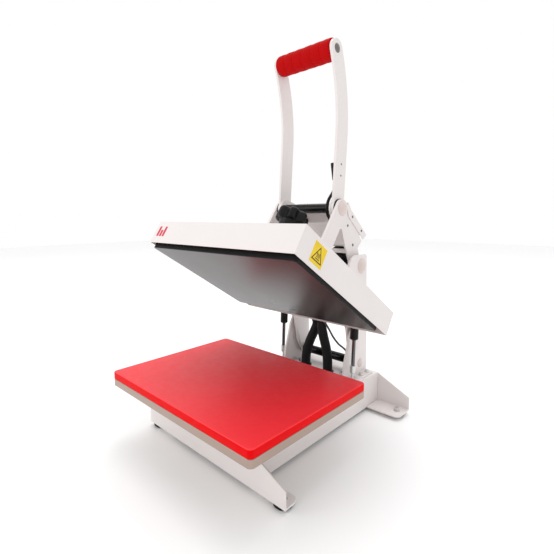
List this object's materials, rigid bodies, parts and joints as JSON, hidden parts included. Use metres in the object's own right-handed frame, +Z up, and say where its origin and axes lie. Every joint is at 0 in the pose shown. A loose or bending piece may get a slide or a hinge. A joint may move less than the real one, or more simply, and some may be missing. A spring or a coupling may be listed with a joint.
{
  "type": "heat press",
  "caption": "Clamshell heat press with a toggle handle, a pressure knob, gas springs, a padded flat work platen and a hinged heated platen.",
  "frame": {"origin": "on the ground plane, at the middle of the bounding box seen from above", "axes": "+X to the right of someone standing at the front, +Y to the back, +Z up"},
  "size_m": [0.39, 0.4894, 0.7805],
  "materials": {
    "white_powder_coat": "powder coat, fine orange peel",
    "silicone": "soft red silicone, faintly mottled",
    "platen_metal": "brushed along the edge",
    "platen_coating": "dark semi-gloss non-stick coating",
    "black_paint": "satin black",
    "black_plastic": "moulded, slightly worn",
    "black_rubber": "matte",
    "hose_rubber": "smooth sleeve",
    "grip_foam": "closed-cell foam",
    "zinc_steel": "zinc-plated",
    "polished_rod": "ground and polished",
    "brass": "turned",
    "heater_sheath": "heat-tinted",
    "insulation_mat": "woven glass-fibre mat",
    "circuit_board": "solder mask",
    "panel_film": "printed film",
    "display_glass": "tinted window",
    "button_plastic": "moulded",
    "rocker_plastic": "moulded",
    "inner_steel": "cut plate"
  },
  "bodies": {
    "base": {"base_box": "white_powder_coat", "base_cover": "inner_steel", "front_foot_bar": "white_powder_coat", "rear_foot_bar": "white_powder_coat", "rubber_feet": "black_rubber", "foot_bolts": "zinc_steel", "lower_platen": "platen_metal", "silicone_pad": "silicone", "platen_posts": "inner_steel", "tower_left": "white_powder_coat", "tower_right": "white_powder_coat", "tower_bolts": "zinc_steel", "hinge_tube": "black_paint", "toggle_tube": "black_paint", "tower_caps": "white_powder_coat", "strut_lower_studs": "zinc_steel", "handle_stop": "black_rubber", "base_glands": "black_plastic", "power_inlet": "black_plastic", "control_board": "circuit_board", "hose_left": "hose_rubber", "hose_right": "hose_rubber", "earth_wire_lead": "hose_rubber"},
    "carriage": {"carriage_arm_left": "white_powder_coat", "carriage_arm_right": "white_powder_coat", "carriage_bridge": "white_powder_coat", "link_pins": "white_powder_coat", "strut_upper_studs": "zinc_steel", "screw_nut": "brass"},
    "upper_platen": {"cover": "white_powder_coat", "heat_platen": "platen_coating", "heating_element": "heater_sheath", "insulation": "insulation_mat", "guide_posts": "inner_steel", "control_panel": "panel_film", "display": "display_glass", "cover_gland": "black_plastic"},
    "knob": {"pressure_knob": "black_plastic", "pressure_screw": "zinc_steel"},
    "handle": {"toggle_channel": "white_powder_coat", "channel_web": "white_powder_coat", "rear_cover": "white_powder_coat", "handle_screws": "zinc_steel", "cross_tube": "black_paint", "handle_arm_left": "white_powder_coat", "handle_arm_right": "white_powder_coat", "handle_bar": "zinc_steel", "handle_grip": "grip_foam"},
    "link_left": {"link_left": "white_powder_coat"},
    "link_right": {"link_right": "white_powder_coat"},
    "strut_rod_left": {"strut_rod_left": "polished_rod"},
    "strut_rod_right": {"strut_rod_right": "polished_rod"},
    "strut_cylinder_left": {"strut_cylinder_left": "black_paint"},
    "strut_cylinder_right": {"strut_cylinder_right": "black_paint"},
    "latch": {"latch_lever": "black_paint", "latch_grip": "black_plastic"},
    "button_set": {"button_set": "button_plastic"},
    "button_up": {"button_up": "button_plastic"},
    "button_down": {"button_down": "button_plastic"},
    "power_switch": {"power_switch": "rocker_plastic"}
  },
  "joints": [
    {"name": "press_fold", "type": "hinge", "parent": "base", "child": "carriage", "pos_m": [0, 0.20125, 0.1025], "axis": [1, 0, 0], "range_deg": [0, 33.1], "stiffness_Nm_per_rad": 30, "springref_deg": -57.3, "deforming": ["hose_left", "hose_right", "earth_wire_lead"]},
    {"name": "handle_turn", "type": "hinge", "parent": "base", "child": "handle", "pos_m": [0, 0.20025, 0.326], "axis": [1, 0, 0], "range_deg": [0, 83.96]},
    {"name": "link_left_turn", "type": "hinge", "parent": "carriage", "child": "link_left", "pos_m": [0, 0.04291, 0.34121], "axis": [1, 0, 0], "range_deg": [-67.89, 0]},
    {"name": "link_right_turn", "type": "hinge", "parent": "carriage", "child": "link_right", "pos_m": [0, 0.04291, 0.34121], "axis": [1, 0, 0], "range_deg": [-67.89, 0]},
    {"name": "strut_rod_left_turn", "type": "hinge", "parent": "base", "child": "strut_rod_left", "pos_m": [-0.101, 0.14825, 0.1], "axis": [1, 0, 0], "range_deg": [0, 36.62]},
    {"name": "strut_rod_right_turn", "type": "hinge", "parent": "base", "child": "strut_rod_right", "pos_m": [0.101, 0.14825, 0.1], "axis": [1, 0, 0], "range_deg": [0, 36.62]},
    {"name": "strut_cylinder_left_slide", "type": "slide", "parent": "strut_rod_left", "child": "strut_cylinder_left", "axis": [0, 0.0433, 0.9991], "range_m": [-0.02967, 0]},
    {"name": "strut_cylinder_right_slide", "type": "slide", "parent": "strut_rod_right", "child": "strut_cylinder_right", "axis": [0, 0.0433, 0.9991], "range_m": [-0.02967, 0]},
    {"name": "knob_turn", "type": "hinge", "parent": "upper_platen", "child": "knob", "pos_m": [0, 0.02812, 0.37711], "axis": [0, 0.5461, 0.8377], "range_deg": [0, 721]},
    {"name": "platen_slide", "type": "slide", "parent": "carriage", "child": "upper_platen", "axis": [0, 0.5461, 0.8377], "range_m": [0, 0.004]},
    {"name": "latch_turn", "type": "hinge", "parent": "handle", "child": "latch", "pos_m": [0.06, 0.12825, 0.419], "axis": [1, 0, 0], "range_deg": [0, 12], "stiffness_Nm_per_rad": 0.3, "springref_deg": -17.19},
    {"name": "button_set_press", "type": "slide", "parent": "upper_platen", "child": "button_set", "axis": [0, -0.5461, -0.8377], "range_m": [0, 0.0012], "stiffness_N_per_m": 300, "springref_m": -0.001},
    {"name": "button_up_press", "type": "slide", "parent": "upper_platen", "child": "button_up", "axis": [0, -0.5461, -0.8377], "range_m": [0, 0.0012], "stiffness_N_per_m": 300, "springref_m": -0.001},
    {"name": "button_down_press", "type": "slide", "parent": "upper_platen", "child": "button_down", "axis": [0, -0.5461, -0.8377], "range_m": [0, 0.0012], "stiffness_N_per_m": 300, "springref_m": -0.001},
    {"name": "rocker_tilt", "type": "hinge", "parent": "base", "child": "power_switch", "pos_m": [-0.036, 0.23425, 0.044], "axis": [1, 0, 0], "range_deg": [0, 14]}
  ],
  "couplings": [
    {"joint": "handle_turn", "follows": "press_fold", "ratio": 2.5245},
    {"joint": "link_left_turn", "follows": "press_fold", "ratio": -2.0389},
    {"joint": "link_right_turn", "follows": "press_fold", "ratio": -2.0389},
    {"joint": "strut_rod_left_turn", "follows": "press_fold", "ratio": 1.0974},
    {"joint": "strut_rod_right_turn", "follows": "press_fold", "ratio": 1.0974},
    {"joint": "strut_cylinder_left_slide", "follows": "press_fold", "m_per_rad": -0.051008},
    {"joint": "strut_cylinder_right_slide", "follows": "press_fold", "m_per_rad": -0.051008},
    {"joint": "knob_turn", "follows": "platen_slide", "rad_per_m": 3141.6}
  ]
}
